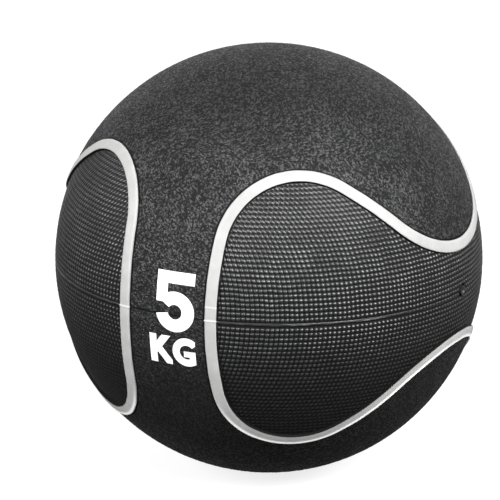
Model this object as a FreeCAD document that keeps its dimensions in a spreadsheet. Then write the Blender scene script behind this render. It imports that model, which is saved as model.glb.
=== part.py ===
"""Rubber medicine ball, 5 kg, 230 mm across, as a parametric FreeCAD document.

Frame, in millimetres: the origin is the centre of the ball, +Z points to the upper pole and
the mould's parting line lies in the XY plane. The smooth strip that carries the weight mark
faces -Y, the two grip panels face +X and -X, and the needle valve opens along +X.

The ball is a stack of layers about one centre: air bladder, thread winding, two halves of
heavy rubber, and an outer skin. The skin is smooth covers, two dumbbell-shaped grip panels
and a raised stripe round each panel. All walls between skin pieces point at the centre.
"""
import FreeCAD, Part
import math
import os

DIMENSIONS = [
    ("cover_radius", 115.0, "outside of the smooth covers"),
    ("skin_thickness", 3.0, "covers, grips and the roots of the stripes"),
    ("weight_thickness", 15.0, "heavy rubber halves"),
    ("winding_thickness", 2.0, "nylon thread winding"),
    ("bladder_thickness", 3.0, "wall of the air bladder"),
    ("grip_recess", 0.6, "tips of the grip pattern below the covers"),
    ("stripe_width", 6.6, "stripe at its foot"),
    ("stripe_crown_width", 5.2, "flat top of the stripe"),
    ("stripe_shoulder", 0.3, "side of the stripe above the covers"),
    ("stripe_rise", 0.9, "top of the stripe above the covers"),
    ("stripe_joint_gap", 0.1, "butt joint where a stripe's two ends meet"),
    ("stripe_joint_height", 7.0, "butt joint above the parting line"),
    ("strip_half_angle", 12.4, "edge of the smooth strip on the parting line"),
    ("lobe_longitude", 36.3, "centre of a lobe's round corner, from the strip"),
    ("lobe_latitude", 16.6, "centre of a lobe's round corner, from the parting line"),
    ("lobe_angle", 21.7, "angular radius of a lobe's round corner"),
    ("waist_latitude", 40.0, "centre of the hollow that makes the waist"),
    ("waist_angle", 27.0, "angular radius of that hollow"),
    ("valve_stem_radius", 6.0, "valve body through the heavy rubber"),
    ("valve_neck_radius", 2.6, "valve body through the grip skin"),
    ("valve_neck_rise", 0.2, "valve face above the grip tips"),
    ("valve_flange_radius", 14.0, "flange bonded inside the bladder"),
    ("valve_flange_thickness", 2.5, "flange bonded inside the bladder"),
    ("valve_outlet_radius", 2.0, "air way through the flange"),
    ("needle_radius", 1.0, "needle port"),
    ("needle_mouth_radius", 1.7, "countersunk mouth of the port"),
    ("needle_mouth_depth", 0.7, "countersunk mouth of the port"),
    ("core_radius", 3.5, "self-sealing plug"),
    ("core_length", 10.0, "self-sealing plug"),
    ("core_start", 94.0, "inner end of the plug, from the centre"),
    ("core_slit_width", 0.2, "slit that the needle opens"),
    ("core_slit_length", 2.4, "slit that the needle opens"),
    ("patch_radius", 20.0, "reinforcing patch round the valve"),
    ("patch_thickness", 1.0, "reinforcing patch round the valve"),
    ("mark_thickness", 0.15, "flat weight mark on the cover"),
    ("digit_left", -6.4, "digit, from the middle of the strip"),
    ("digit_foot", -8.5, "digit, from the parting line"),
    ("digit_width", 22.8, "digit"),
    ("digit_tall", 31.6, "digit"),
    ("digit_stroke", 6.8, "digit"),
    ("letter_left", -9.2, "first letter, from the middle of the strip"),
    ("letter_foot", -27.0, "letters, from the parting line"),
    ("letter_width", 12.6, "each letter"),
    ("letter_tall", 15.8, "letters"),
    ("letter_stroke", 4.0, "letters"),
    ("letter_space", 0.6, "gap between the letters"),
    ("arm_angle", 52.0, "diagonals of the first letter, from level"),
]

doc = FreeCAD.newDocument("MedicineBall")
sheet = doc.addObject("Spreadsheet::Sheet", "Dimensions")
for row, (alias, value, note) in enumerate(DIMENSIONS, start=1):
    sheet.set(f"A{row}", alias)
    sheet.set(f"B{row}", str(value))
    sheet.setAlias(f"B{row}", alias)
    sheet.set(f"C{row}", note)
doc.recompute()


def cell(text):
    """Turn words in braces into references to the sheet, for an expression."""
    return text.replace("{", "Dimensions.").replace("}", "")


def size(alias):
    """Value of one cell, for the shapes that are worked out in this file."""
    return float(sheet.get(alias))


# Radii of the faces between the layers, as expressions on the sheet.
COVER = "{cover_radius}"
SKIN_INSIDE = "({cover_radius} - {skin_thickness})"
WEIGHT_INSIDE = f"({SKIN_INSIDE} - {{weight_thickness}})"
WINDING_INSIDE = f"({WEIGHT_INSIDE} - {{winding_thickness}})"
BLADDER_INSIDE = f"({WINDING_INSIDE} - {{bladder_thickness}})"
GRIP = "({cover_radius} - {grip_recess})"
VALVE_FACE = f"({GRIP} + {{valve_neck_rise}})"
STRIPE_SIDE = "({cover_radius} + {stripe_shoulder})"
STRIPE_TOP = "({cover_radius} + {stripe_rise})"
FLANGE_INSIDE = f"({BLADDER_INSIDE} - {{valve_flange_thickness}})"
CORE_END = "({core_start} + {core_length})"

ALONG_X = FreeCAD.Rotation(FreeCAD.Vector(0, 1, 0), 90)
WHOLE = (-90, 90)
UPPER = (0, 90)
LOWER = (-90, 0)


def add(kind, name, **bound):
    """Add an object whose properties are bound to expressions on the sheet."""
    item = doc.addObject(kind, name)
    for prop, expression in bound.items():
        item.setExpression(prop.replace("__", "."), cell(expression))
    return item


def ball(name, radius, span=WHOLE):
    """A solid ball, or the part of it between two latitudes."""
    item = add("Part::Sphere", name, Radius=radius)
    item.Angle1, item.Angle2 = span
    return item


def cut(name, base, tool):
    item = doc.addObject("Part::Cut", name)
    item.Base = base
    item.Tool = tool
    return item


def fuse(name, *shapes):
    item = doc.addObject("Part::MultiFuse", name)
    item.Shapes = list(shapes)
    item.Refine = True
    return item


def common(name, *shapes):
    item = doc.addObject("Part::MultiCommon", name)
    item.Shapes = list(shapes)
    return item


def layer(name, inside, outside, span=WHOLE):
    """A hollow ball between two radii, or the part of it between two latitudes."""
    return cut(name, ball(name + "_outer", outside, span), ball(name + "_core", inside))


def rod_x(name, radius, start, end):
    """A round rod along +X between two distances from the centre."""
    rod = add("Part::Cylinder", name, Radius=radius, Height=f"{end} - {start}")
    rod.Placement = FreeCAD.Placement(FreeCAD.Vector(), ALONG_X)
    rod.setExpression("Placement.Base.x", cell(start))
    return rod


# ---------------------------------------------------------------- outline of a grip panel
def direction(longitude, latitude):
    """Unit vector; longitude 0 is the marked strip at -Y, 90 is the middle of a panel."""
    lon = math.radians(longitude)
    lat = math.radians(latitude)
    flat = math.cos(lat)
    return FreeCAD.Vector(flat * math.sin(lon), -flat * math.cos(lon), math.sin(lat))


def swing(start, towards, angle):
    """Turn one unit vector towards another, and past it, by an angle in degrees."""
    return FreeCAD.Rotation(start.cross(towards), angle).multVec(start)


def between(first, last):
    return math.degrees(first.getAngle(last))


def flank_pole(lobe, lobe_angle, waist, waist_angle):
    """Pole of the great circle that touches a lobe's corner and the waist's hollow."""
    dot = lobe.dot(waist)
    near = math.sin(math.radians(lobe_angle))
    far = -math.sin(math.radians(waist_angle))
    on_lobe = (near - dot * far) / (1 - dot * dot)
    on_waist = (far - dot * near) / (1 - dot * dot)
    level = lobe * on_lobe + waist * on_waist
    side = lobe.cross(waist)
    side.normalize()
    rise = math.sqrt(1 - level.dot(level))
    poles = [level + side * rise, level - side * rise]
    return min(poles, key=lambda pole: pole.z)


def panel_arcs(offset):
    """Arcs of a panel's outline as (start, middle, end) directions, all round.

    The outline is twelve arcs that run into each other smoothly: a long arc beside each
    smooth strip, four round lobes, four straight flanks and the two hollows of the waist.
    offset moves the outline outwards, in millimetres on the covers' surface.
    """
    grow = math.degrees(offset / size("cover_radius"))
    lobe_angle = size("lobe_angle")
    waist_angle = size("waist_angle")
    lobe = direction(size("lobe_longitude"), size("lobe_latitude"))
    waist = direction(90, size("waist_latitude"))
    strip_edge = direction(size("strip_half_angle"), 0)

    # The strip-side arc is centred on the parting line, touches the lobe's corner and
    # passes through the strip's edge: its centre's longitude is found by halving.
    low = size("lobe_longitude")
    high = 180.0
    for _ in range(50):
        middle = (low + high) / 2
        centre = direction(middle, 0)
        if between(centre, lobe) + lobe_angle > between(centre, strip_edge):
            low = middle
        else:
            high = middle
    strip_centre = direction(low, 0)
    strip_angle = between(strip_centre, strip_edge)

    pole = flank_pole(lobe, lobe_angle, waist, waist_angle)
    flank_on_lobe = lobe - pole * lobe.dot(pole)
    flank_on_waist = waist - pole * waist.dot(pole)
    far_side = strip_centre * -1

    strip_mid = swing(strip_centre, strip_edge, strip_angle + grow)
    lobe_start = swing(lobe, far_side, lobe_angle + grow)
    lobe_end = swing(lobe, flank_on_lobe, lobe_angle + grow)
    waist_start = swing(waist, flank_on_waist, waist_angle - grow)
    waist_mid = direction(90, size("waist_latitude") - waist_angle + grow)
    lobe_mid = swing(lobe, lobe_start + lobe_end, lobe_angle + grow)
    flank_mid = swing(pole, waist_start + lobe_end, 90 + grow)

    def below(point):
        return FreeCAD.Vector(point.x, point.y, -point.z)

    def behind(point):
        return FreeCAD.Vector(point.x, -point.y, point.z)

    arcs = []
    for turn in (lambda point: point, behind):
        arcs.append([turn(point) for point in (below(lobe_start), strip_mid, lobe_start)])
        for flip in (lambda point: point, below):
            for arc in ((lobe_start, lobe_mid, lobe_end), (lobe_end, flank_mid, waist_start)):
                arcs.append([turn(flip(point)) for point in arc])
    for flip in (lambda point: point, below):
        arcs.append([flip(point) for point in (waist_start, waist_mid, behind(waist_start))])
    return arcs


def panel_sector(name, offset, turned=False):
    """Solid block of directions inside a panel's outline, with walls that point at the centre.

    It is thicker than the skin and serves as a cutter. turned makes the one for -X.
    """
    deep = size("cover_radius") - 2 * size("skin_thickness")
    high = size("cover_radius") + size("skin_thickness")
    block = Part.makeSphere(high).cut(Part.makeSphere(deep))
    walls = []
    for arc in panel_arcs(offset):
        edges = []
        for radius in (deep - 1, high + 1):
            edges.append(Part.Arc(*[point * radius for point in arc]).toShape())
        walls.append(Part.makeRuledSurface(edges[0], edges[1]))
    pieces, _ = block.generalFuse([Part.Shell(walls)])
    inside = FreeCAD.Vector(1, 0, 0) * ((deep + high) / 2)
    sector = [solid for solid in pieces.Solids if solid.isInside(inside, 0.01, False)][0]
    item = doc.addObject("Part::Feature", name)
    item.Shape = sector
    if turned:
        item.Placement = FreeCAD.Placement(
            FreeCAD.Vector(), FreeCAD.Rotation(FreeCAD.Vector(0, 0, 1), 180))
    return item


SUB_PARTS = []


def sub_part(item, label):
    """Name a finished piece. The label is the name of its node and its file."""
    item.Label = label
    SUB_PARTS.append(item)
    return item


# ---------------------------------------------------------------- inside
def make_valve():
    """Moulded valve body bonded to the bladder, its self-sealing plug and its patch."""
    flange = common(
        "FlangeDisc",
        rod_x("FlangeRod", "{valve_flange_radius}", "0", VALVE_FACE),
        layer("FlangeLayer", FLANGE_INSIDE, BLADDER_INSIDE))
    stem = common(
        "StemPiece",
        rod_x("StemRod", "{valve_stem_radius}", "0", VALVE_FACE),
        layer("StemLayer", FLANGE_INSIDE, SKIN_INSIDE))
    neck = rod_x("NeckRod", "{valve_neck_radius}", f"({SKIN_INSIDE} - 1)", VALVE_FACE)
    outside = fuse("ValveOutside", flange, stem, neck)
    mouth = add(
        "Part::Cone", "NeedleMouth", Radius1="{needle_radius}",
        Radius2="{needle_mouth_radius}", Height="{needle_mouth_depth}")
    mouth.Placement = FreeCAD.Placement(FreeCAD.Vector(), ALONG_X)
    mouth.setExpression("Placement.Base.x", cell(f"{VALVE_FACE} - {{needle_mouth_depth}}"))
    cavity = fuse(
        "ValveCavity",
        rod_x("Outlet", "{valve_outlet_radius}", "({core_start} - 10)", CORE_END),
        rod_x("PlugSeat", "{core_radius}", "{core_start}", CORE_END),
        rod_x("NeedlePort", "{needle_radius}", "{core_start}", VALVE_FACE),
        mouth)
    sub_part(cut("ValveBody", outside, cavity), "valve_body")

    slit = add(
        "Part::Box", "Slit", Length="{core_length}", Width="{core_slit_length}",
        Height="{core_slit_width}",
        Placement__Base__x="{core_start} + {core_length} / 3",
        Placement__Base__y="-{core_slit_length} / 2",
        Placement__Base__z="-{core_slit_width} / 2")
    plug = rod_x("Plug", "{core_radius}", "{core_start}", CORE_END)
    sub_part(cut("ValveCore", plug, slit), "valve_core")


def make_carcass():
    """Air bladder, valve patch, thread winding and the two heavy rubber halves."""
    passage = rod_x("ValvePassage", "{valve_stem_radius}", "0", COVER)
    bladder = cut("Bladder", layer("BladderLayer", BLADDER_INSIDE, WINDING_INSIDE), passage)
    sub_part(bladder, "air_bladder")

    patch_disc = common(
        "PatchDisc",
        rod_x("PatchRod", "{patch_radius}", "0", COVER),
        layer("PatchLayer", WINDING_INSIDE, f"({WINDING_INSIDE} + {{patch_thickness}})"))
    sub_part(cut("Patch", patch_disc, passage), "valve_patch")

    winding_layer = layer("WindingLayer", WINDING_INSIDE, WEIGHT_INSIDE)
    winding = cut("Winding", cut("WindingBed", winding_layer, patch_disc), passage)
    sub_part(winding, "thread_winding")

    for side, span in (("upper", UPPER), ("lower", LOWER)):
        name = "Weight" + side.title()
        half = layer(name + "Half", WEIGHT_INSIDE, SKIN_INSIDE, span)
        sub_part(cut(name, half, passage), f"weight_shell_{side}")


# ---------------------------------------------------------------- skin
def make_skin():
    """Smooth covers, grip panels and stripes, which meet face to face."""
    half_foot = size("stripe_width") / 2
    half_crown = size("stripe_crown_width") / 2
    neck = rod_x("NeckPassage", "{valve_neck_radius}", "0", COVER)
    sectors = {}
    for side, turned in (("right", False), ("left", True)):
        title = side.title()
        sectors[side] = {
            "foot_outer": panel_sector(title + "FootOuter", half_foot, turned),
            "foot_inner": panel_sector(title + "FootInner", -half_foot, turned),
            "crown_outer": panel_sector(title + "CrownOuter", half_crown, turned),
            "crown_inner": panel_sector(title + "CrownInner", -half_crown, turned),
        }

    panels = fuse("Panels", sectors["right"]["foot_outer"], sectors["left"]["foot_outer"])
    for half, span in (("upper", UPPER), ("lower", LOWER)):
        name = "Cover" + half.title()
        cover = cut(name, layer(name + "Half", SKIN_INSIDE, COVER, span), panels)
        sub_part(cover, f"cover_{half}")

    for side, sector in sectors.items():
        title = side.title()
        for half, span in (("upper", UPPER), ("lower", LOWER)):
            name = title + "Grip" + half.title()
            skin = layer(name + "Half", SKIN_INSIDE, GRIP, span)
            grip = common(name, skin, sector["foot_inner"])
            if side == "right":
                grip = cut(name + "Holed", grip, neck)
            sub_part(grip, f"grip_{side}_{half}")

        foot = common(
            title + "StripeFoot",
            layer(title + "FootLayer", SKIN_INSIDE, STRIPE_SIDE),
            cut(title + "FootBand", sector["foot_outer"], sector["foot_inner"]))
        crown = common(
            title + "StripeCrown",
            layer(title + "CrownLayer", SKIN_INSIDE, STRIPE_TOP),
            cut(title + "CrownBand", sector["crown_outer"], sector["crown_inner"]))
        loop = fuse(title + "StripeLoop", foot, crown)
        # The joint lies in front on the right stripe and behind on the left one.
        joint = add(
            "Part::Box", title + "JointGap", Length="{cover_radius} / 2",
            Width="{cover_radius} * 2", Height="{stripe_joint_gap}",
            Placement__Base__z="{stripe_joint_height}")
        if side == "right":
            joint.setExpression("Placement.Base.y", cell("-{cover_radius} * 2"))
        else:
            joint.setExpression("Placement.Base.x", cell("-{cover_radius} / 2"))
        sub_part(cut(title + "Stripe", loop, joint), f"stripe_{side}")


# ---------------------------------------------------------------- weight mark
# Letters stand in the XZ plane, as seen from -Y, and are cut to the ball's curve.
FRONT_PLANE = FreeCAD.Rotation(FreeCAD.Vector(1, 0, 0), 90)


def bar(name, left, foot, width, tall, lean="0"):
    """A straight stroke, leaning by an angle from level about its lower left corner."""
    item = add(
        "Part::Box", name, Length=width, Width=tall, Height="{cover_radius} * 1.1",
        Placement__Base__x=left, Placement__Base__z=foot)
    item.Placement = FreeCAD.Placement(FreeCAD.Vector(), FRONT_PLANE)
    if lean != "0":
        turn = FreeCAD.Rotation(FreeCAD.Vector(0, -1, 0), size("arm_angle") * float(lean))
        item.Placement = FreeCAD.Placement(FreeCAD.Vector(), turn.multiply(FRONT_PLANE))
    item.setExpression("Placement.Base.x", cell(left))
    item.setExpression("Placement.Base.z", cell(foot))
    return item


def bowl(name, centre_x, centre_z, radius, stroke, start, sweep):
    """A round stroke of a letter: part of a ring, counted anticlockwise from the right."""
    disc = add("Part::Cylinder", name + "Disc", Radius=radius, Height="{cover_radius} * 1.1")
    hole = add(
        "Part::Cylinder", name + "Hole", Radius=f"{radius} - {stroke}",
        Height="{cover_radius} * 1.1")
    disc.Angle = sweep
    turn = FreeCAD.Rotation(FreeCAD.Vector(0, -1, 0), start)
    disc.Placement = FreeCAD.Placement(FreeCAD.Vector(), turn.multiply(FRONT_PLANE))
    hole.Placement = FreeCAD.Placement(FreeCAD.Vector(), FRONT_PLANE)
    for item in (disc, hole):
        item.setExpression("Placement.Base.x", cell(centre_x))
        item.setExpression("Placement.Base.z", cell(centre_z))
    return cut(name, disc, hole)


def mark_piece(label, *strokes):
    """Fuse strokes into one letter and keep the thin film of it that lies on the cover."""
    name = label.title().replace("_", "")
    film = layer(name + "Film", COVER, f"({COVER} + {{mark_thickness}})")
    letter = fuse(name + "Strokes", *strokes) if len(strokes) > 1 else strokes[0]
    return sub_part(common(name, letter, film), label)


def make_mark():
    """Weight mark: a digit with two letters under it, in plain round and straight strokes."""
    wide = "{digit_width}"
    tall = "{digit_tall}"
    stroke = "{digit_stroke}"
    left = "{digit_left}"
    foot = "{digit_foot}"
    bowl_radius = f"({wide} * 0.47)"
    mark_piece(
        "weight_digit",
        bar("DigitTop", f"{left} + 1.4", f"{foot} + {tall} - {stroke} * 0.9",
            f"{wide} - 1.8", f"{stroke} * 0.9"),
        bar("DigitStem", f"{left} + 1.4", f"{foot} + {tall} * 0.49",
            f"{stroke} * 0.92", f"{tall} * 0.5"),
        bowl("DigitBowl", f"{left} + {wide} - {bowl_radius}", f"{foot} + {bowl_radius}",
             bowl_radius, stroke, -170, 315))

    wide = "{letter_width}"
    tall = "{letter_tall}"
    stroke = "{letter_stroke}"
    left = "{letter_left}"
    foot = "{letter_foot}"
    frame = bar("LetterKFrame", left, foot, wide, tall)
    arms = fuse(
        "LetterKArms",
        bar("LetterKUp", f"{left} + {stroke} * 0.9", f"{foot} + {tall} * 0.3",
            f"{tall} * 1.2", stroke, "1"),
        bar("LetterKDown", f"{left} + {stroke} * 0.6", f"{foot} + {tall} * 0.56",
            f"{tall} * 1.2", stroke, "-1"))
    mark_piece(
        "weight_letter_k",
        bar("LetterKStem", left, foot, stroke, tall),
        common("LetterKTrimmed", frame, arms))

    left = "({letter_left} + {letter_width} + {letter_space})"
    ring = bowl(
        "LetterGRing", f"{left} + {tall} / 2", f"{foot} + {tall} / 2", f"({tall} / 2)",
        stroke, 40, 320)
    frame = bar("LetterGFrame", left, foot, wide, tall)
    mark_piece(
        "weight_letter_g",
        common("LetterGTrimmed", frame, ring),
        bar("LetterGBar", f"{left} + {wide} * 0.5", f"{foot} + {tall} * 0.33",
            f"{wide} * 0.5", f"{stroke} * 0.8"),
        bar("LetterGSpur", f"{left} + {wide} - {stroke} * 0.8", f"{foot} + {tall} * 0.08",
            f"{stroke} * 0.8", f"{tall} * 0.42"))


make_valve()
make_carcass()
make_skin()
make_mark()
doc.recompute()

for item in doc.Objects:
    if "Invalid" in item.State or "Error" in item.State:
        raise RuntimeError(f"{item.Label} failed: {item.State}")
os.makedirs("parts", exist_ok=True)
for item in SUB_PARTS:
    if item.Shape.isNull() or not item.Shape.isValid():
        raise RuntimeError(f"{item.Label} has no valid shape")
for item in SUB_PARTS:
    item.Shape.exportStep(f"parts/{item.Label}.step")
    box = item.Shape.BoundBox
    print(f"{item.Label}: {len(item.Shape.Solids)} solid, {item.Shape.Volume / 1000:.2f} cm3,"
          f" x {box.XMin:.1f} {box.XMax:.1f} y {box.YMin:.1f} {box.YMax:.1f}"
          f" z {box.ZMin:.1f} {box.ZMax:.1f}")
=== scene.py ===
"""Looks of a rubber medicine ball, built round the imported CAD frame. Lengths are in metres.

The frame has its origin at the ball's centre and +Z at the upper pole. The smooth strip with
the weight mark faces -Y and the two grip panels face +X and -X. Longitude 0 is the marked
strip, longitude 90 is the middle of the right panel, and latitude 0 is the parting line.
Directions are unit vectors from the ball's centre, and distances along the ball are
measured on the covers.
"""
import math

import bpy
import numpy as np
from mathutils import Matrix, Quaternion, Vector
from mathutils.geometry import delaunay_2d_cdt


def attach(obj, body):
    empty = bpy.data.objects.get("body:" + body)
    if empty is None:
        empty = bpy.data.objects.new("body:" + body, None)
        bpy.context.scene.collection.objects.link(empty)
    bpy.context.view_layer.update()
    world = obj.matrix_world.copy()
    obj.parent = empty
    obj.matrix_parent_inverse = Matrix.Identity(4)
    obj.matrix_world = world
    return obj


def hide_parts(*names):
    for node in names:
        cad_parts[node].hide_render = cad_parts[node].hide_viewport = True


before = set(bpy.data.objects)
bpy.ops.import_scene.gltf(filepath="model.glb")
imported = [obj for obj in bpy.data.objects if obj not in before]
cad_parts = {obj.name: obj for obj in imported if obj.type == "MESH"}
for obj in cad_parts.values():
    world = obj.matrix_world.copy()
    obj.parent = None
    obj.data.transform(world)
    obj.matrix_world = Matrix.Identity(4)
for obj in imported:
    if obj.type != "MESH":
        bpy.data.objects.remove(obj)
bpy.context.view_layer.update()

MM = 0.001


def node_radius(node):
    """Largest distance of a CAD node's points from the ball's centre."""
    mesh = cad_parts[node].data
    points = np.empty(len(mesh.vertices) * 3, np.float32)
    mesh.vertices.foreach_get("co", points)
    return float(np.linalg.norm(points.reshape(-1, 3), axis=1).max())


# Radii of the layers come from the frame.
COVER_R = node_radius("cover_upper")
SKIN_INNER_R = node_radius("weight_shell_upper")
GRIP_TIP_R = node_radius("grip_left_upper")

# Outline of the right grip panel along the middle of its stripe, in degrees. The left panel
# is the right one turned half a turn about Z.
STRIP_HALF_ANGLE = 12.4
LOBE_LONGITUDE = 36.3
LOBE_LATITUDE = 16.6
LOBE_ANGLE = 21.7
WAIST_LATITUDE = 40.0
WAIST_ANGLE = 27.0

# The stripes lie a little off the outline: the shifts are positive away from the panel.
STRIPE_HALF_WIDTH = 3.3 * MM
RIGHT_SHIFT = -0.35 * MM
LEFT_SHIFT = 0.1 * MM

# Spacing of points in the covers' relief, along the edges of covers and grips, and along the
# stripes.
COVER_SPACING = 0.75 * MM
EDGE_SPACING = 0.7 * MM
STRIPE_SPACING = 0.35 * MM

# Stands for a distance that is too long to count.
FAR_AWAY = 999.0


# ------------------------------------------------------------------ directions and outline
def direction(longitude, latitude):
    """Unit vectors for longitudes and latitudes in degrees."""
    lon = np.radians(longitude)
    lat = np.radians(latitude)
    flat = np.cos(lat)
    return np.stack([flat * np.sin(lon), -flat * np.cos(lon), np.sin(lat) + 0 * lon], -1)


def unit(vectors):
    """The vectors at length 1."""
    return vectors / np.linalg.norm(vectors, axis=-1, keepdims=True)


def angle_between(first, second):
    """Angle in degrees between unit vectors."""
    return np.degrees(np.arccos(np.clip((first * second).sum(-1), -1, 1)))


def flip(vector, *axes):
    """Mirror image of a vector in the planes across the given axes."""
    image = np.array(vector, float)
    for axis in axes:
        image[..., axis] *= -1
    return image


def half_turn(vectors):
    """Vectors turned half a turn about Z, from the right panel to the left one."""
    return flip(vectors, 0, 1)


def swing(start, towards, degrees):
    """Turn a unit vector towards another, and past it, by an angle."""
    across = unit(towards - start * start.dot(towards))
    turn = math.radians(degrees)
    return math.cos(turn) * start + math.sin(turn) * across


class Arc:
    """Part of a small circle on the unit sphere, from one point to another.

    inwards is +1 where the panel lies on the centre's side of the arc, and -1 where it
    lies on the other side.
    """

    def __init__(self, centre, angle, start, end, inwards=1):
        self.centre = centre
        self.angle = angle
        self.start = start
        self.end = end
        self.inwards = inwards
        self.first = unit(start - centre * start.dot(centre))
        self.second = np.cross(centre, self.first)
        self.sweep = math.atan2(end.dot(self.second), end.dot(self.first))

    def mirrored(self, *axes):
        """The arc's mirror image; one mirror swaps its ends, to keep the outline's course."""
        ends = [flip(self.start, *axes), flip(self.end, *axes)]
        if len(axes) == 1:
            ends.reverse()
        return Arc(flip(self.centre, *axes), self.angle, *ends, self.inwards)

    def points(self, count):
        """Points along the arc, and the directions that point out of the panel there."""
        turn = np.linspace(0, self.sweep, count, endpoint=False)[:, None]
        spoke = np.cos(turn) * self.first + np.sin(turn) * self.second
        rho = math.radians(self.angle)
        on_arc = math.cos(rho) * self.centre + math.sin(rho) * spoke
        outward = -math.sin(rho) * self.centre + math.cos(rho) * spoke
        return on_arc, outward * self.inwards

    def distance(self, points):
        """Signed distance in degrees, positive outside the panel; far away off the arc."""
        across = points @ self.first
        along = points @ self.second
        turn = np.arctan2(along, across) * np.sign(self.sweep)
        slack = 1e-3
        beside = (turn < -slack) | (turn > abs(self.sweep) + slack)
        signed = (angle_between(points, self.centre) - self.angle) * self.inwards
        return np.where(beside, FAR_AWAY, signed)

    def length(self):
        """Length of the arc on the unit sphere."""
        return abs(self.sweep) * math.sin(math.radians(self.angle))


def strip_circle(lobe, edge):
    """Centre and angle of the circle through the strip's edge that touches the lobe's corner.

    Its centre lies on the parting line and is found by halving the range of longitudes.
    """
    low, high = LOBE_LONGITUDE, 180.0
    for _ in range(50):
        middle = (low + high) / 2
        centre = direction(middle, 0)
        if angle_between(centre, lobe) + LOBE_ANGLE > angle_between(centre, edge):
            low = middle
        else:
            high = middle
    centre = direction(low, 0)
    return centre, float(angle_between(centre, edge))


def flank_pole(lobe, waist):
    """Pole of the great circle that touches the lobe's corner and the waist's hollow."""
    dot = lobe.dot(waist)
    near = math.sin(math.radians(LOBE_ANGLE))
    far = -math.sin(math.radians(WAIST_ANGLE))
    level = (lobe * (near - dot * far) + waist * (far - dot * near)) / (1 - dot * dot)
    side = unit(np.cross(lobe, waist))
    rise = side * math.sqrt(1 - level.dot(level))
    return min((level + rise, level - rise), key=lambda vector: vector[2])


def panel_outline():
    """The right panel's outline as arcs in order, anticlockwise seen from outside at +X."""
    lobe = direction(LOBE_LONGITUDE, LOBE_LATITUDE)
    waist = direction(90, WAIST_LATITUDE)
    edge = direction(STRIP_HALF_ANGLE, 0)
    strip_centre, strip_angle = strip_circle(lobe, edge)
    pole = flank_pole(lobe, waist)
    lobe_start = swing(lobe, -strip_centre, LOBE_ANGLE)
    lobe_end = unit(lobe - pole * lobe.dot(pole))
    waist_start = unit(waist - pole * waist.dot(pole))
    waist_end = direction(90, WAIST_LATITUDE - WAIST_ANGLE)

    # The round corner turns the long way about its centre, so it is made of two arcs.
    lobe_mid = swing(lobe, unit(lobe_start + lobe_end), LOBE_ANGLE)
    up_front = [Arc(strip_centre, strip_angle, edge, lobe_start),
                Arc(lobe, LOBE_ANGLE, lobe_start, lobe_mid),
                Arc(lobe, LOBE_ANGLE, lobe_mid, lobe_end),
                Arc(pole, 90.0, lobe_end, waist_start),
                Arc(waist, WAIST_ANGLE, waist_start, waist_end, inwards=-1)]
    up_back = [arc.mirrored(1) for arc in up_front[::-1]]
    low_back = [arc.mirrored(1, 2) for arc in up_front]
    low_front = [arc.mirrored(2) for arc in up_front[::-1]]
    return up_front + up_back + low_back + low_front


OUTLINE = panel_outline()
UPPER_ARCS = OUTLINE[:len(OUTLINE) // 2]


def outline_points(arcs, spacing):
    """Points along the arcs, about the spacing apart on the covers, and outward directions."""
    points = []
    outward = []
    for arc in arcs:
        count = max(3, round(arc.length() * COVER_R / spacing))
        on_arc, out = arc.points(count)
        points.append(on_arc)
        outward.append(out)
    return np.concatenate(points), np.concatenate(outward)


def upper_outline():
    """Points and outward directions of the outline's upper half, with both of its ends."""
    points, outward = outline_points(UPPER_ARCS, EDGE_SPACING)
    last = flip(direction(STRIP_HALF_ANGLE, 0), 1)
    last_outward = unit(np.array([-last[1], last[0], 0.0]))
    last_outward = last_outward * np.sign(-last_outward[0])
    return np.concatenate([points, last[None]]), np.concatenate([outward, last_outward[None]])


def move_out(points, outward, distance):
    """Move unit vectors along the sphere by a distance measured on the covers."""
    turn = distance / COVER_R
    return np.cos(turn) * points + np.sin(turn) * outward


def outline_distance(points):
    """Distance on the covers from the middle of the nearest stripe, positive outside."""
    mirrored = points.copy()
    mirrored[:, 0] = abs(mirrored[:, 0])
    nearest = np.full(len(points), FAR_AWAY)
    for arc in OUTLINE:
        signed = arc.distance(mirrored)
        nearest = np.where(abs(signed) < abs(nearest), signed, nearest)
    shift = np.where(points[:, 0] > 0, RIGHT_SHIFT, LEFT_SHIFT)
    return np.radians(nearest) * COVER_R - shift


def parting_points(start, end, spacing):
    """Points on the parting line between two longitudes, without the last one."""
    count = max(3, round(math.radians(abs(end - start)) * COVER_R / spacing))
    return direction(np.linspace(start, end, count, endpoint=False), np.zeros(count))


def longitude_of(vector):
    """Longitude of a vector in degrees."""
    return math.degrees(math.atan2(vector[0], -vector[1]))


def sphere_points(spacing):
    """Evenly spread unit vectors, a spiral with about the given spacing on the covers."""
    count = int(4 * math.pi * COVER_R ** 2 / spacing ** 2)
    index = np.arange(count) + 0.5
    z = 1 - 2 * index / count
    turn = index * math.pi * (3 - math.sqrt(5))
    flat = np.sqrt(1 - z * z)
    return np.stack([flat * np.cos(turn), flat * np.sin(turn), z], 1)


# ------------------------------------------------------------------ noise for real relief
NOISE_CELLS = 64


def smooth_noise(points, grain, seed):
    """Smooth random values from -1 to 1 at points, with bumps about one grain across."""
    table = np.random.default_rng(seed).random((NOISE_CELLS,) * 3) * 2 - 1
    scaled = points / grain + 1000.0
    base = np.floor(scaled).astype(int)
    part = scaled - base
    part = part * part * (3 - 2 * part)
    total = np.zeros(len(points))
    for corner in range(8):
        step = np.array([corner & 1, corner >> 1 & 1, corner >> 2 & 1])
        weight = np.where(step, part, 1 - part).prod(1)
        index = (base + step) % NOISE_CELLS
        total += weight * table[index[:, 0], index[:, 1], index[:, 2]]
    return total


def smooth_step(value, low, high):
    """0 below low, 1 above high, and a smooth rise between them."""
    part = np.clip((value - low) / (high - low), 0, 1)
    return part * part * (3 - 2 * part)


def soft_line(distance, half_width):
    """1 on a line, falling to about a third at its half width and to nothing beyond."""
    return np.exp(-(distance / half_width) ** 2)


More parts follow.
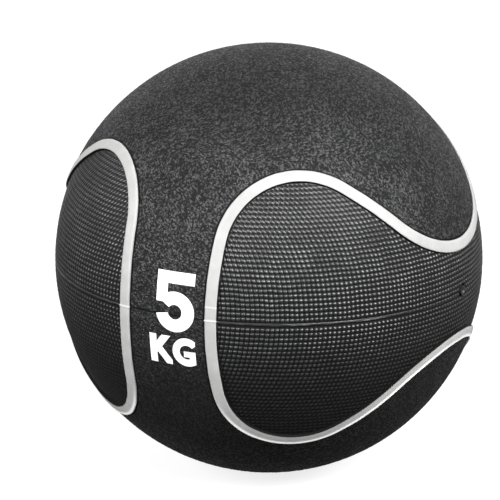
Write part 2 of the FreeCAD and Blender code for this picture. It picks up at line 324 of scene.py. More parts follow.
# ------------------------------------------------------------------ meshes
def make_object(name, points, faces):
    """A smooth-shaded mesh object in the scene."""
    mesh = bpy.data.meshes.new(name)
    mesh.from_pydata(points.tolist(), [], faces)
    mesh.update()
    mesh.polygons.foreach_set("use_smooth", [True] * len(mesh.polygons))
    item = bpy.data.objects.new(name, mesh)
    bpy.context.scene.collection.objects.link(item)
    return item


def chart(vectors, pole):
    """Map unit vectors to a plane by stereographic projection about the pole.

    The projection keeps angles, so that Delaunay triangles on the plane are even on the ball.
    """
    side = unit(np.cross(pole, [0.0, 1.0, 0.0]))
    other = np.cross(pole, side)
    scale = 1 / np.maximum(1 + vectors @ pole, 1e-6)
    return np.stack([vectors @ side * scale, vectors @ other * scale], 1)


TRIANGLES_INSIDE = 1
MERGE_DISTANCE = 1e-9


def triangulate(loop, inside, pole):
    """Triangles between a closed loop of unit vectors and points inside it.

    Returns all points and the triangles.
    """
    every = np.concatenate([loop, inside])
    flat = [Vector(point) for point in chart(every, pole).tolist()]
    count = len(loop)
    edges = [(i, (i + 1) % count) for i in range(count)]
    outer_face = [list(range(count))]
    result = delaunay_2d_cdt(flat, edges, outer_face, TRIANGLES_INSIDE, MERGE_DISTANCE)
    points, _, faces, origins = result[:4]
    if len(points) != len(every):
        raise RuntimeError("the outline crosses itself")
    order = [ids[0] for ids in origins]
    return every, [[order[i] for i in face] for face in faces]


def inside_loop(points, loop, pole, margin):
    """True for points inside a loop and at least a margin from it, by counting crossings."""
    on_this_side = points @ pole > -0.2
    plane = chart(points, pole)
    ring = chart(loop, pole)
    x, y = plane.T
    crossings = np.zeros(len(points), int)
    closest = np.full(len(points), FAR_AWAY)
    for start, end in zip(ring, np.roll(ring, -1, 0)):
        rise = end[1] - start[1]
        if rise:
            level_with = (y > start[1]) != (y > end[1])
            cut = start[0] + (y - start[1]) * (end[0] - start[0]) / rise
            crossings += level_with & (x < cut)
        closest = np.minimum(closest, (x - start[0]) ** 2 + (y - start[1]) ** 2)
    reach = margin / COVER_R * (1 + (plane ** 2).sum(1)) / 2
    return on_this_side & (crossings % 2 == 1) & (closest > reach ** 2)


def turned_faces(faces, points, outwards):
    """The faces, all turned over where that is needed for them to look outwards or inwards."""
    corner, second, third = points[faces[0]]
    looks_out = np.cross(second - corner, third - corner).dot(corner) > 0
    return faces if looks_out == outwards else [face[::-1] for face in faces]


def closed_skin(name, loop, inside, pole, height, floor_spacing):
    """A closed piece of skin: a relief surface outside, plain walls, and an inner face.

    loop runs round the piece and inside holds the points between; height gives the
    radius of the outer surface at unit vectors. The inner face lies on the weight shell
    and has its own, wider spacing.
    """
    top, top_faces = triangulate(loop, inside, pole)
    sparse = sphere_points(floor_spacing)
    sparse = sparse[inside_loop(sparse, loop, pole, floor_spacing)]
    bottom, bottom_faces = triangulate(loop, sparse, pole)
    outer = top * height(top)[:, None]
    inner = bottom * SKIN_INNER_R
    offset = len(outer)
    faces = turned_faces(top_faces, outer, outwards=True)
    for face in turned_faces(bottom_faces, inner, outwards=False):
        faces.append([i + offset for i in face])
    anticlockwise = np.cross(loop, np.roll(loop, -1, 0)).sum(0).dot(pole) > 0
    for i in range(len(loop)):
        after = (i + 1) % len(loop)
        wall = [i, offset + i, offset + after, after]
        faces.append(wall if anticlockwise else wall[::-1])
    return make_object(name, np.concatenate([outer, inner]), faces)


# ------------------------------------------------------------------ covers
GRAIN_HEIGHT = 0.16 * MM
COVER_WAVINESS = 0.02 * MM
COVER_EDGE_DROP = 0.35 * MM
COVER_SEAM_DROP = 0.15 * MM
COVER_FLOOR_SPACING = 8 * MM


def cover_height(points):
    """Radius of a smooth cover: fine pebble grain, rounded down beside stripes and edges."""
    place = points * COVER_R
    # Squares of random numbers make few high specks among many low ones, two thirds on average.
    specks = 2 * np.random.default_rng(12).random(len(points)) ** 2 - 0.67
    grain = 0.3 * smooth_noise(place, 0.9 * MM, 11) + 0.75 * specks
    wave = smooth_noise(place, 14 * MM, 13)
    from_stripe = outline_distance(points) - STRIPE_HALF_WIDTH
    from_parting = abs(points[:, 2]) * COVER_R
    fade = smooth_step(from_stripe, 0.0, 1.2 * MM) * smooth_step(from_parting, 0, 0.8 * MM)
    edge = COVER_EDGE_DROP * (1 - smooth_step(from_stripe, 0, 0.7 * MM))
    seam = COVER_SEAM_DROP * (1 - smooth_step(from_parting, 0, 0.45 * MM))
    return COVER_R + fade * GRAIN_HEIGHT * grain + COVER_WAVINESS * wave - edge - seam


def cover_loop():
    """Boundary of the upper cover: strip, right panel, back strip and left panel."""
    points, outward = upper_outline()
    right = move_out(points, outward, STRIPE_HALF_WIDTH + RIGHT_SHIFT)
    left = half_turn(move_out(points, outward, STRIPE_HALF_WIDTH + LEFT_SHIFT))
    from_left, to_right = longitude_of(left[-1]), longitude_of(right[0])
    front = parting_points(from_left, to_right, EDGE_SPACING)[1:]
    back = parting_points(180 - to_right, 180 - from_left, EDGE_SPACING)[1:]
    return np.concatenate([front, right, back, left])


def make_covers():
    """The upper and lower smooth covers."""
    loop = cover_loop()
    points = sphere_points(COVER_SPACING)
    clear = 0.6 * COVER_SPACING
    for half, sign in (("upper", 1), ("lower", -1)):
        near = points[points[:, 2] * sign > 0]
        off_stripe = outline_distance(near) - STRIPE_HALF_WIDTH > clear
        off_parting = abs(near[:, 2]) * COVER_R > clear
        cover = closed_skin(f"cover_{half}_grained", loop * [1, 1, sign],
                            near[off_stripe & off_parting], np.array([0.0, 0.0, sign]),
                            cover_height, COVER_FLOOR_SPACING)
        finish_piece(cover, COVER_RUBBER, "cover_rubber", f"cover_{half}")


# ------------------------------------------------------------------ grips
PIP_HEIGHT = 0.6 * MM
PIP_PITCH = 2.52 * MM
ROW_PITCH = 2.55 * MM
FIRST_PIP_ROW = 2.76 * MM
GRIP_FLOOR_SPACING = 6 * MM

# The pattern sits a little below the parting line, and its columns lean near the lobes.
PATTERN_DROP = 1.3 * MM
PIP_LEAN = 0.75

# The relief's sampling points: where they lie within one pitch, how far up and across the
# ball they go in degrees, the extra rows on the flash, and the least distances from the
# parting line and the stripe.
PIP_STEPS = (-0.16, 0.16, 0.27, 0.38, 0.62, 0.73)
PATTERN_TOP_LATITUDE = 42
PATTERN_REACH = 79
FLASH_ROWS = (1.0 * MM, 1.3 * MM, 1.6 * MM)
PARTING_CLEARANCE = 0.25 * MM
STRIPE_CLEARANCE = 0.15 * MM

# How far the pattern strays across and up, in pitches, and where its first row starts.
ACROSS_WANDER = 0.06
UP_WANDER = 0.05
FIRST_ROW_START = (-0.55, -0.35)

# Parts of the pips' height that stand only where a column crosses a row, and all along a
# column. The rest stands all along a row.
CROSSING_PART = 0.5
RIGHT_COLUMN_PART = 0.28
LEFT_COLUMN_PART = 0.42

# The left panel's pips are lower, and so are all pips towards the bottom of the ball.
LEFT_PIP_SHARE = 0.8
LOW_PIP_LOSS = 0.33

# Moulding flash below the parting line: its height, how far that varies, and the heights on
# the ball over which it rises and falls again. Towards the middle of the panel the flash and
# the plain band beside it give way to pips, over the distances from it in BAND_FADE.
FLASH_HEIGHT = 0.46 * MM
FLASH_RAGGED = 0.14 * MM
FLASH_RISE = (-1.9 * MM, -1.2 * MM)
FLASH_FALL = (-1.2 * MM, 0.9 * MM)
BAND_FADE = (28 * MM, 52 * MM)

# Raised rim of a grip where it meets the stripe.
RIM_HEIGHT = 0.36 * MM

# The valve's neck, the ring-shaped gap round it, which is deepest at one angle, and where the
# pips start. Rings of sampling points follow the gap, and the pips' own points lie beyond.
VALVE_NECK_R = 2.6 * MM
VALVE_GAP_R = 2.95 * MM
VALVE_GAP_HALF_WIDTH = 0.3 * MM
VALVE_GAP = 1.6 * MM
VALVE_GAP_TURN = math.radians(75)
PIPS_FROM_VALVE = (3.2 * MM, 4.0 * MM)
VALVE_CLEAR_R = 3.7 * MM
VALVE_RINGS = (2.75 * MM, 2.95 * MM, 3.15 * MM, 3.4 * MM)


def pip_phase(points):
    """Position of points in the square pattern, counted in pips across and up."""
    longitude = np.arctan2(abs(points[:, 0]), -points[:, 1])
    latitude = np.arcsin(points[:, 2])
    off_middle = longitude - math.pi / 2
    lean = PIP_LEAN * np.sin(latitude) ** 4 * np.sign(off_middle)
    across = (off_middle * np.cos(latitude) - lean) * COVER_R / PIP_PITCH
    up = (abs(latitude * COVER_R + PATTERN_DROP) - FIRST_PIP_ROW) / ROW_PITCH
    return across, up


def pip_lattice(half):
    """Sampling points that follow the right panel's pips; half is 1 above and -1 below."""
    top_row = int(math.radians(PATTERN_TOP_LATITUDE) * COVER_R / ROW_PITCH)
    from_middle = [FIRST_PIP_ROW + (row + step) * ROW_PITCH
                   for row in range(-1, top_row) for step in PIP_STEPS]
    heights = [side * height - PATTERN_DROP
               for side in (1, -1) for height in from_middle if height > 0]
    heights.extend(-height for height in FLASH_ROWS)
    rows = []
    for height in heights:
        if height * half < PARTING_CLEARANCE:
            continue
        latitude = height / COVER_R
        reach = math.radians(PATTERN_REACH) * math.cos(latitude) * COVER_R / PIP_PITCH
        columns = np.arange(-math.ceil(reach), math.ceil(reach))
        across = (columns[:, None] + np.array(PIP_STEPS)).ravel() * PIP_PITCH / COVER_R
        lean = PIP_LEAN * math.sin(latitude) ** 4 * np.sign(across)
        longitude = math.pi / 2 + (across + lean) / math.cos(latitude)
        level = np.full(len(longitude), math.degrees(latitude))
        rows.append(direction(np.degrees(longitude), level))
    return np.concatenate(rows)


def pip_profile(phase):
    """Flat-topped ridge across one pitch: 1 on the pip's middle line and 0 half way."""
    foot, shoulder, dome = 0.14, 0.62, 0.05
    wave = 0.5 + 0.5 * np.cos(2 * math.pi * phase)
    return (1 - dome) * smooth_step(wave, foot, shoulder) + dome * wave


def pip_relief(place, across, up):
    """Height of the pips before they are trimmed at the panel's edges."""
    column = pip_profile(across)
    row = pip_profile(up)
    on_right = place[:, 0] > 0
    column_part = np.where(on_right, RIGHT_COLUMN_PART, LEFT_COLUMN_PART)
    row_part = 1 - CROSSING_PART - column_part
    share = CROSSING_PART * column * row + column_part * column + row_part * row
    share *= 1 + 0.16 * smooth_noise(place, 2.4 * MM, 23)
    share *= np.where(on_right, 1.0, LEFT_PIP_SHARE)
    share *= 1 - LOW_PIP_LOSS * smooth_step(-place[:, 2], 0, 48 * MM)
    return share * PIP_HEIGHT


def flash_relief(place):
    """Height of the ragged moulding flash just below the parting line."""
    height = place[:, 2] + 0.2 * MM * smooth_noise(place * [1, 1, 0], 4 * MM, 26)
    band = (1 - smooth_step(height, *FLASH_FALL)) * smooth_step(height, *FLASH_RISE)
    ragged = smooth_noise(place * [1, 1, 6], 4 * MM, 24)
    return band * (FLASH_HEIGHT + FLASH_RAGGED * ragged)


def grip_height(points):
    """Radius of a grip panel: square pips, with a plain band and flash at the parting line.

    The right panel's pips also stop short of the valve, which has a gap round it.
    """
    place = points * COVER_R
    across, up = pip_phase(points)
    across = across + ACROSS_WANDER * smooth_noise(place, 6 * MM, 21)
    up = up + UP_WANDER * smooth_noise(place, 6 * MM, 22)
    in_middle = 1 - smooth_step(abs(place[:, 1]), *BAND_FADE)
    on_pattern = np.maximum(smooth_step(up, *FIRST_ROW_START), in_middle)
    from_edge = -STRIPE_HALF_WIDTH - outline_distance(points)
    inside_edge = smooth_step(from_edge, 0, 0.5 * MM)
    rim = RIM_HEIGHT * (1 - smooth_step(from_edge, 0.1 * MM, 0.6 * MM))

    from_valve = np.linalg.norm(place[:, 1:], axis=1)
    beside_valve = place[:, 0] > 0
    off_valve = np.where(beside_valve, smooth_step(from_valve, *PIPS_FROM_VALVE), 1.0)
    around = np.arctan2(place[:, 2], place[:, 1])
    gap = soft_line(from_valve - VALVE_GAP_R, VALVE_GAP_HALF_WIDTH) * beside_valve
    gap *= VALVE_GAP * (0.25 + 0.75 * np.cos(around - VALVE_GAP_TURN) ** 4)

    pips = pip_relief(place, across, up) * on_pattern * inside_edge
    flash = flash_relief(place) * (1 - in_middle)
    base = GRIP_TIP_R - PIP_HEIGHT + 0.03 * MM * smooth_noise(place, 11 * MM, 25)
    return base + (pips + flash) * off_valve + rim - gap


def valve_rings(half):
    """Extra points round the valve's neck, in the right panel's upper or lower half."""
    turn = np.radians(np.linspace(0, 180, 33))[1:-1]
    rings = []
    for radius in VALVE_RINGS:
        forward = radius * np.cos(turn)
        up = half * radius * np.sin(turn)
        rings.append(unit(np.stack([COVER_R + 0 * turn, forward, up], 1)))
    return np.concatenate(rings)


def grip_base_line(start, has_valve):
    """A grip's boundary along the parting line, from the back to the longitude start.

    It goes round the valve's neck where the panel has a valve.
    """
    if not has_valve:
        return parting_points(180 - start, start, EDGE_SPACING)[1:]
    neck_angle = math.degrees(VALVE_NECK_R / COVER_R)
    turn = np.radians(np.linspace(0, 180, 25))[1:-1]
    neck = np.stack([0 * turn, np.cos(turn), np.sin(turn)], 1)
    return np.concatenate([
        parting_points(180 - start, 90 + neck_angle, EDGE_SPACING)[1:],
        direction(np.array([90 + neck_angle]), np.array([0.0])),
        unit(neck * VALVE_NECK_R + [COVER_R, 0, 0]),
        parting_points(90 - neck_angle, start, EDGE_SPACING)])


def make_grips():
    """The four halves of the grip panels, with the valve in the right panel."""
    points, outward = upper_outline()
    for side, shift in (("right", RIGHT_SHIFT), ("left", LEFT_SHIFT)):
        on_right = side == "right"
        edge = move_out(points, outward, shift - STRIPE_HALF_WIDTH)
        base_line = grip_base_line(longitude_of(edge[0]), has_valve=on_right)
        pole = np.array([1.0 if on_right else -1.0, 0, 0])
        for half, sign in (("upper", 1), ("lower", -1)):
            loop = np.concatenate([edge, base_line]) * [1, 1, sign]
            inside = pip_lattice(sign)
            if not on_right:
                loop = half_turn(loop)
                inside = half_turn(inside)
            clear = outline_distance(inside) < -STRIPE_HALF_WIDTH - STRIPE_CLEARANCE
            inside = inside[clear]
            if on_right:
                from_valve = np.linalg.norm(inside[:, 1:] * COVER_R, axis=1)
                off_valve = inside[from_valve > VALVE_CLEAR_R]
                inside = np.concatenate([off_valve, valve_rings(sign)])
            grip = closed_skin(f"grip_{side}_{half}_pips", loop, inside, pole,
                               grip_height, GRIP_FLOOR_SPACING)
            finish_piece(grip, GRIP_RUBBER, "grip_rubber", f"grip_{side}_{half}")


# ------------------------------------------------------------------ stripes
STRIPE_PROFILE = [
    # distance from the middle line in mm, height over the covers in mm and tone, and then the
    # height and tone where the stripe's outer edge faces down, low on the ball; there the tone
    # falls on the inner side, and the outer lip's high tone is painted light from the floor
    # below
    (-3.3, -3.0, 0.0, -3.0, 0.0), (-3.3, -0.6, 0.0, -0.6, 0.0), (-3.16, -0.1, 0.0, -0.1, 0.0),
    (-3.1, 0.4, 0.12, 0.3, 0.0), (-3.0, 0.7, 0.4, 0.6, 0.05), (-2.8, 0.82, 0.5, 0.7, 0.28),
    (-2.2, 0.88, 0.5, 0.8, 0.38), (-1.0, 0.9, 0.5, 0.84, 0.42), (0.2, 0.9, 0.5, 0.84, 0.5),
    (1.1, 0.89, 0.5, 0.83, 0.58), (1.6, 0.88, 0.5, 0.86, 0.85), (2.2, 0.84, 0.52, 0.96, 1.0),
    (2.8, 0.68, 0.5, 1.06, 1.0), (3.02, 0.4, 0.36, 0.9, 1.0), (3.12, -0.1, 0.05, 0.1, 0.1),
    (3.3, -0.6, 0.0, -0.6, 0.0), (3.3, -3.0, 0.0, -3.0, 0.0), (0.0, -3.0, 0.0, -3.0, 0.0)]

# In mm: the profile's points lower than the first are out of sight, and those further out
# than the second are on the stripe's edges.
BURIED_RISE = -0.2
EDGE_OFFSET = 2.6

# The butt joint is on the right stripe, beside the marked strip: its height above the
# parting line, and the longitude that it lies within.
BUTT_JOINT_HEIGHT = 7.05 * MM
BUTT_JOINT_REACH = 14

# Where the outer edge faces down enough, and lies low enough on the ball, for the pale lip,
# which is painted light from the floor below.
FACING_DOWN = (0.15, 0.6)
BELOW_PARTING = (14 * MM, 34 * MM)

# Flash at the parting line and at the butt joint: its half width, how far it spills over the
# stripe's edges and how far it stands up, both in mm, and how much painted highlight it adds
# to the tone.
PARTING_HALF_WIDTH, JOINT_HALF_WIDTH = 0.32 * MM, 0.4 * MM
PARTING_SPILL, JOINT_SPILL = 0.35, 0.15
PARTING_RIDGE, JOINT_RIDGE = 0.3, 0.12
PARTING_GLINT, JOINT_GLINT = 0.22, 0.12


def stripe_rings(spine, out, shift, has_joint):
    """Rings of points along a stripe, one for each row of the profile, and their tones.

    spine is the outline and out its outward directions. Tone sets the light rubber's colour:
    0 in the dirty joint with the black rubber, 0.5 on the handled crown, and 1 on the pale
    lip low on the ball, which is painted light from the floor below; flash adds a painted
    highlight to it. Flash stands up at the parting line and, where there is one, at the joint.
    """
    place = spine * COVER_R
    beside_mark = abs(spine[:, 0]) < math.sin(math.radians(BUTT_JOINT_REACH))
    beside_mark &= spine[:, 1] < 0
    at_parting = soft_line(place[:, 2], PARTING_HALF_WIDTH)
    at_joint = soft_line(place[:, 2] - BUTT_JOINT_HEIGHT, JOINT_HALF_WIDTH)
    at_joint *= beside_mark & has_joint
    spill = PARTING_SPILL * at_parting + JOINT_SPILL * at_joint
    ridge = PARTING_RIDGE * at_parting + JOINT_RIDGE * at_joint
    glint = PARTING_GLINT * at_parting + JOINT_GLINT * at_joint
    # Low on the ball, where the outer edge faces down, the profile's low tones paint light from
    # the floor below on the lip.
    low = smooth_step(-out[:, 2], *FACING_DOWN) * smooth_step(-place[:, 2], *BELOW_PARTING)
    rings = []
    tones = []
    for offset, rise_high, tone_high, rise_low, tone_low in STRIPE_PROFILE:
        side = np.sign(offset)
        in_sight = rise_high > BURIED_RISE
        on_edge = abs(offset) > EDGE_OFFSET
        rise = rise_high + low * (rise_low - rise_high)
        tone = tone_high + low * (tone_low - tone_high)
        wander = 0.08 * smooth_noise(place, 5 * MM, 32 + int(side))
        across = offset + shift / MM + in_sight * (wander + side * on_edge * spill)
        level = rise + in_sight * (0.04 * smooth_noise(place, 9 * MM, 35) + ridge)
        beside_spine = move_out(spine, out, across[:, None] * MM)
        rings.append(beside_spine * (COVER_R + level[:, None] * MM))
        # The glint is a painted highlight on the flash, added to the tone.
        tones.append(np.clip(tone + (tone > 0.3) * glint, 0, 1))
    return rings, tones


def ring_faces(rings, count):
    """Four-sided faces between rings of points; the last ring is joined to the first."""
    faces = []
    for ring in range(rings):
        following = (ring + 1) % rings
        for i in range(count):
            after = (i + 1) % count
            faces.append([ring * count + i, ring * count + after,
                          following * count + after, following * count + i])
    return faces


def make_stripes():
    """The two light stripes, as closed loops swept along the outlines."""
    points, outward = outline_points(OUTLINE, STRIPE_SPACING)
    faces = ring_faces(len(STRIPE_PROFILE), len(points))
    courses = {"right": (points, outward, RIGHT_SHIFT, True),
               "left": (half_turn(points), half_turn(outward), LEFT_SHIFT, False)}
    for side, course in courses.items():
        rings, tones = stripe_rings(*course)
        stripe = make_object(f"stripe_{side}_bead", np.concatenate(rings), faces)
        attribute = stripe.data.attributes.new("tone", "FLOAT", "POINT")
        attribute.data.foreach_set("value", np.concatenate(tones))
        finish_piece(stripe, STRIPE_RUBBER, "stripe_rubber", f"stripe_{side}")


# ------------------------------------------------------------------ materials
# The span that most values of a noise texture fall in.
NOISE_SPAN = (0.3, 0.7)


def new_material(name):
    """A material, its node tree, its shader and its object coordinates."""
    material = bpy.data.materials.new(name)
    material.use_nodes = True
    nodes = material.node_tree.nodes
    coordinates = nodes.new("ShaderNodeTexCoord")
    return material, material.node_tree, nodes["Principled BSDF"], coordinates.outputs["Object"]


def noise(tree, place, size, detail=2.0, roughness=0.5):
    """Noise with blobs about the given size in metres."""
    node = tree.nodes.new("ShaderNodeTexNoise")
    node.inputs["Scale"].default_value = 1 / size
    node.inputs["Detail"].default_value = detail
    node.inputs["Roughness"].default_value = roughness
    tree.links.new(place, node.inputs["Vector"])
    return node.outputs["Fac"]


def cells(tree, place, size):
    """Cell pattern with cells about the given size in metres."""
    node = tree.nodes.new("ShaderNodeTexVoronoi")
    node.inputs["Scale"].default_value = 1 / size
    tree.links.new(place, node.inputs["Vector"])
    return node.outputs["Distance"]


def remap(tree, value, low, high, to_low, to_high):
    """Value mapped from one range to another, and held at the ends."""
    node = tree.nodes.new("ShaderNodeMapRange")
    node.inputs["From Min"].default_value = low
    node.inputs["From Max"].default_value = high
    node.inputs["To Min"].default_value = to_low
    node.inputs["To Max"].default_value = to_high
    tree.links.new(value, node.inputs["Value"])
    return node.outputs["Result"]


def blend_colours(tree, factor, first, second):
    """Blend of two colours, each a tuple or a node's output."""
    node = tree.nodes.new("ShaderNodeMix")
    node.data_type = "RGBA"
    tree.links.new(factor, node.inputs["Factor"])
    for name, colour in (("A", first), ("B", second)):
        target = [socket for socket in node.inputs
                  if socket.name == name and socket.type == "RGBA"][0]
        if isinstance(colour, tuple):
            target.default_value = (*colour, 1)
        else:
            tree.links.new(colour, target)
    return [socket for socket in node.outputs if socket.type == "RGBA"][0]


def combine(tree, operation, first, second):
    """Sum, product or the like of two values, each a number or a node's output."""
    node = tree.nodes.new("ShaderNodeMath")
    node.operation = operation
    for socket, value in zip(node.inputs, (first, second)):
        if isinstance(value, (int, float)):
            socket.default_value = value
        else:
            tree.links.new(value, socket)
    return node.outputs["Value"]


def add_bump(tree, shader, height, distance):
    """Fine relief in the shading, its height 1 standing for a distance in metres."""
    node = tree.nodes.new("ShaderNodeBump")
    node.inputs["Distance"].default_value = distance
    tree.links.new(height, node.inputs["Height"])
    tree.links.new(node.outputs["Normal"], shader.inputs["Normal"])


def height_share(tree, place, low, high):
    """How high a point stands between two radii, from 0 to 1."""
    node = tree.nodes.new("ShaderNodeVectorMath")
    node.operation = "LENGTH"
    tree.links.new(place, node.inputs[0])
    return remap(tree, node.outputs["Value"], low, high, 0, 1)


def rubber(name, low, high, colours, grain, bump, hollow, crest, relief_part, span, gloss=1.5):
    """Matt black rubber: matt and dark in the hollows, paler and smoother on the high spots.
    The colour is partly wear and partly painted shade, which darkens the hollows.

    low and high are the radii of the hollows and high spots of the modelled relief; hollow
    and crest give the roughness and specular level there. relief_part is how much the fine
    grain counts against the modelled relief, and span is where the wear starts and ends.
    grain is the fine grain's size and bump its height; gloss is the index of refraction.
    """
    material, tree, shader, place = new_material(name)
    share = height_share(tree, place, low, high)
    fine = noise(tree, place, grain, 2.0, 0.7)
    pebble = cells(tree, place, grain * 1.2)
    relief = combine(tree, "SUBTRACT", fine, combine(tree, "MULTIPLY", pebble, 0.7))
    slow = noise(tree, place, 25 * MM, 3.0)
    # Colour and gloss follow this mix: wear on the high spots, and painted shade that darkens
    # the hollows.
    wear_and_hollow_shade = combine(tree, "ADD", combine(tree, "MULTIPLY", share, 1 - relief_part),
                   remap(tree, relief, -0.2, 0.4, 0, relief_part))
    wear_and_hollow_shade = combine(tree, "MULTIPLY", wear_and_hollow_shade, remap(tree, slow, *NOISE_SPAN, 0.96, 1.04))
    tree.links.new(blend_colours(tree, wear_and_hollow_shade, *colours), shader.inputs["Base Color"])
    tree.links.new(remap(tree, wear_and_hollow_shade, *span, hollow[0], crest[0]), shader.inputs["Roughness"])
    tree.links.new(remap(tree, wear_and_hollow_shade, *span, hollow[1], crest[1]),
                   shader.inputs["Specular IOR Level"])
    shader.inputs["IOR"].default_value = gloss
    add_bump(tree, shader, relief, bump)
    return material


def light_rubber():
    """Light stripe rubber: matt, grey where handled and dirty in the joint; white on the low
    lip as painted light from below, and on the flash as painted highlight.
    """
    material, tree, shader, place = new_material("light_rubber")
    grey = ((0.34, 0.34, 0.335), (0.40, 0.40, 0.395))
    grubby = (0.31, 0.31, 0.305)
    painted_light_white = (0.92, 0.92, 0.915)
    dirt = (0.008, 0.008, 0.008)
    slow = noise(tree, place, 8 * MM, 4.0, 0.6)
    fine = noise(tree, place, 0.5 * MM, 2.0)
    attribute = tree.nodes.new("ShaderNodeAttribute")
    attribute.attribute_name = "tone"
    tone = attribute.outputs["Fac"]
    handled = blend_colours(tree, remap(tree, slow, *NOISE_SPAN, 0, 1), *grey)
    spots = remap(tree, noise(tree, place, 2.5 * MM, 4.0, 0.7), 0.62, 0.74, 0, 0.35)
    handled = blend_colours(tree, spots, handled, grubby)
    # Tones above 0.5 turn white: painted light from the floor below on the low lip, and painted
    # highlight on the flash.
    with_painted_light = blend_colours(tree, remap(tree, tone, 0.5, 1, 0, 1), handled, painted_light_white)
    colour = blend_colours(tree, remap(tree, tone, 0.1, 0.4, 1, 0), with_painted_light, dirt)
    tree.links.new(colour, shader.inputs["Base Color"])
    roughness = combine(tree, "MULTIPLY", remap(tree, tone, 0.5, 1, 1, 0.65),
                        remap(tree, slow, *NOISE_SPAN, 0.45, 0.55))
    tree.links.new(roughness, shader.inputs["Roughness"])
    tree.links.new(remap(tree, tone, 0.1, 0.4, 0.02, 0.5), shader.inputs["Specular IOR Level"])
    add_bump(tree, shader, fine, 0.03 * MM)
    return material


def print_ink():
    """White printed ink: flat and even, with faint pinholes over the grain."""
    material, tree, shader, place = new_material("print_ink")
    whites = ((0.84, 0.84, 0.83), (0.92, 0.92, 0.91))
    pinhole = (0.3, 0.3, 0.3)
    slow = noise(tree, place, 5 * MM, 3.0)
    fine = noise(tree, place, 1.1 * MM, 3.0, 0.6)
    colour = blend_colours(tree, remap(tree, slow, *NOISE_SPAN, 0, 1), *whites)
    holes = remap(tree, noise(tree, place, 0.8 * MM, 3.0, 0.8), 0.70, 0.8, 0, 0.5)
    colour = blend_colours(tree, holes, colour, pinhole)
    tree.links.new(colour, shader.inputs["Base Color"])
    tree.links.new(remap(tree, fine, *NOISE_SPAN, 0.45, 0.6), shader.inputs["Roughness"])
    add_bump(tree, shader, fine, 0.08 * MM)
    return material


def plain_rubber(name, dark, light, grain, roughness):
    """Moulded rubber or cloth of the inner pieces: mottled, with a fine skin."""
    material, tree, shader, place = new_material(name)
    slow = noise(tree, place, grain * 12, 4.0, 0.6)
    fine = noise(tree, place, grain, 3.0)
    colour = blend_colours(tree, remap(tree, slow, *NOISE_SPAN, 0, 1), dark, light)
    tree.links.new(colour, shader.inputs["Base Color"])
    tree.links.new(remap(tree, fine, *NOISE_SPAN, roughness - 0.08, roughness + 0.08),
                   shader.inputs["Roughness"])
    add_bump(tree, shader, fine, grain * 0.15)
    return material


def dress_cad_pieces():
    """Materials for the CAD pieces that keep their own shape."""
    ink = print_ink()
    inner = {
        "air_bladder": plain_rubber("bladder_rubber", (0.05, 0.05, 0.05), (0.09, 0.09, 0.085),
                                    1.5 * MM, 0.45),
        "weight_shell_upper": plain_rubber("weight_rubber", (0.03, 0.03, 0.03),
                                           (0.06, 0.055, 0.05), 2.0 * MM, 0.7),
        "thread_winding": plain_rubber("winding_thread", (0.45, 0.43, 0.38), (0.62, 0.6, 0.55),
                                       0.6 * MM, 0.75),
        "valve_patch": plain_rubber("patch_fabric", (0.10, 0.10, 0.10), (0.16, 0.16, 0.15),
                                    0.8 * MM, 0.8),
        "valve_body": plain_rubber("valve_rubber", (0.008, 0.008, 0.009), (0.03, 0.03, 0.03),
                                   0.5 * MM, 0.45),
        "valve_core": plain_rubber("plug_rubber", (0.02, 0.02, 0.02), (0.05, 0.05, 0.05),
                                   0.5 * MM, 0.5)}
    inner["weight_shell_lower"] = inner["weight_shell_upper"]
    for node in ("weight_digit", "weight_letter_k", "weight_letter_g"):
        inner[node] = ink
    for node, material in inner.items():
        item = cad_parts[node]
        for slot in item.material_slots:
            slot.material = material


def finish_piece(item, material, slot, *nodes):
    """Give a new piece its material and tie it to the frame."""
    item.data.materials.append(material)
    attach(item, "root")
    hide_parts(*nodes)


# ------------------------------------------------------------------ stage
CAMERA_AZIMUTH = 27.25
CAMERA_ELEVATION = 17.1
CAMERA_ROLL = 0.98
CAMERA_DISTANCE = 2.07
SENSOR = 36.0
BALL_SHARE = 0.86
SHIFT = (-0.0376, 0.015)

# Azimuth and elevation in degrees, distance and width in metres, and power in watts.
SOFTBOXES = {
    "key": (62, 37, 1.6, 0.9, 36),
    "fill": (-30, 24, 1.8, 0.9, 34),
    "side": (95, 29, 1.8, 0.5, 14)}

# Strengths of the floor as the camera sees it, of the dark room and the tent overhead, and
# of the backdrop behind the ball.
FLOOR_GLOW = 0.8
ROOM_LIGHT = 0.05
TENT_LIGHT = 0.35
BACKDROP_LIGHT = 0.9
FLOOR_SIZE = 30


def make_floor():
    """Pale floor at the ball's lowest point; it looks white, but lights the ball as grey."""
    bpy.ops.mesh.primitive_plane_add(size=FLOOR_SIZE, location=(0, 0, -COVER_R))
    floor = bpy.context.object
    floor.name = "floor"
    material, tree, shader, _ = new_material("pale_floor")
    shader.inputs["Base Color"].default_value = (0.3, 0.3, 0.3, 1)
    shader.inputs["Emission Color"].default_value = (1, 1, 1, 1)
    seen = tree.nodes.new("ShaderNodeLightPath").outputs["Is Camera Ray"]
    tree.links.new(combine(tree, "MULTIPLY", seen, FLOOR_GLOW),
                   shader.inputs["Emission Strength"])
    shader.inputs["Roughness"].default_value = 0.9
    shader.inputs["Specular IOR Level"].default_value = 0.1
    floor.data.materials.append(material)
    floor.visible_glossy = False


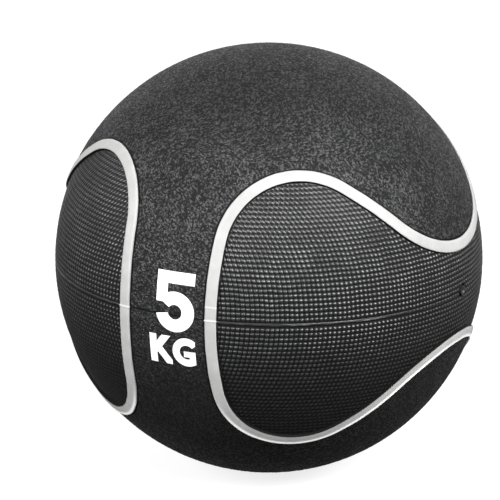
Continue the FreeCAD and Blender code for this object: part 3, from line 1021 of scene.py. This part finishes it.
def make_surroundings():
    """A white tent overhead and behind the ball, and a darker room in front and below."""
    world = bpy.data.worlds.new("studio")
    bpy.context.scene.world = world
    world.use_nodes = True
    tree = world.node_tree
    background = tree.nodes["Background"]
    place = tree.nodes.new("ShaderNodeTexCoord").outputs["Generated"]
    parts = tree.nodes.new("ShaderNodeSeparateXYZ")
    tree.links.new(place, parts.inputs["Vector"])
    overhead = remap(tree, parts.outputs["Z"], -0.35, 0.08, ROOM_LIGHT, TENT_LIGHT)
    behind = tree.nodes.new("ShaderNodeVectorMath")
    behind.operation = "DOT_PRODUCT"
    behind.inputs[1].default_value = -direction(CAMERA_AZIMUTH, 0)
    tree.links.new(place, behind.inputs[0])
    backdrop = remap(tree, behind.outputs["Value"], 0.3, 0.65, 0, BACKDROP_LIGHT)
    above_floor = remap(tree, parts.outputs["Z"], -0.4, 0.1, 0.2, 1)
    backdrop = combine(tree, "MULTIPLY", backdrop, above_floor)
    tent = combine(tree, "MAXIMUM", overhead, backdrop)
    seen = tree.nodes.new("ShaderNodeLightPath").outputs["Is Camera Ray"]
    tree.links.new(combine(tree, "MAXIMUM", tent, seen), background.inputs["Strength"])
    background.inputs["Color"].default_value = (1, 1, 1, 1)


def make_softbox(name, azimuth, elevation, distance, size, watts):
    """A round soft light that points at the ball's centre."""
    data = bpy.data.lights.new(name, "AREA")
    data.shape = "DISK"
    data.size = size
    data.energy = watts
    lamp = bpy.data.objects.new(name, data)
    lamp.location = Vector(direction(azimuth, elevation)) * distance
    lamp.rotation_euler = (-lamp.location).to_track_quat("-Z", "Y").to_euler()
    bpy.context.scene.collection.objects.link(lamp)


def make_camera():
    """Long lens looking slightly down; the ball fills most of the picture's height."""
    camera = bpy.data.cameras.new("camera")
    camera.sensor_width = SENSOR
    ball_half_angle = math.asin(COVER_R / CAMERA_DISTANCE)
    camera.lens = SENSOR * BALL_SHARE / 2 / math.tan(ball_half_angle)
    camera.shift_x, camera.shift_y = SHIFT
    item = bpy.data.objects.new("camera", camera)
    back = Vector(direction(CAMERA_AZIMUTH, CAMERA_ELEVATION))
    item.location = back * CAMERA_DISTANCE
    item.rotation_mode = "QUATERNION"
    look = (-back).to_track_quat("-Z", "Y")
    item.rotation_quaternion = look @ Quaternion((0, 0, 1), math.radians(CAMERA_ROLL))
    bpy.context.scene.collection.objects.link(item)
    bpy.context.scene.camera = item


bpy.context.scene.view_settings.view_transform = "Standard"
COVER_RUBBER = rubber(
    "cover_rubber", low=COVER_R - 0.6 * GRAIN_HEIGHT, high=COVER_R + 0.6 * GRAIN_HEIGHT,
    colours=((0.004, 0.004, 0.0045), (0.013, 0.013, 0.0135)), grain=0.75 * MM, bump=0.4 * MM,
    hollow=(0.6, 0.16), crest=(0.35, 1.0), relief_part=0.45, span=(0.42, 0.9))
GRIP_RUBBER = rubber(
    "grip_rubber", low=GRIP_TIP_R - PIP_HEIGHT, high=GRIP_TIP_R,
    colours=((0.003, 0.003, 0.0035), (0.012, 0.012, 0.0125)), grain=0.6 * MM, bump=0.02 * MM,
    hollow=(0.55, 0.2), crest=(0.34, 1.0), relief_part=0.15, span=(0.25, 0.8), gloss=1.55)
STRIPE_RUBBER = light_rubber()
dress_cad_pieces()
make_covers()
make_grips()
make_stripes()
make_floor()
make_surroundings()
for softbox, values in SOFTBOXES.items():
    make_softbox(softbox, *values)
make_camera()

bpy.context.view_layer.update()
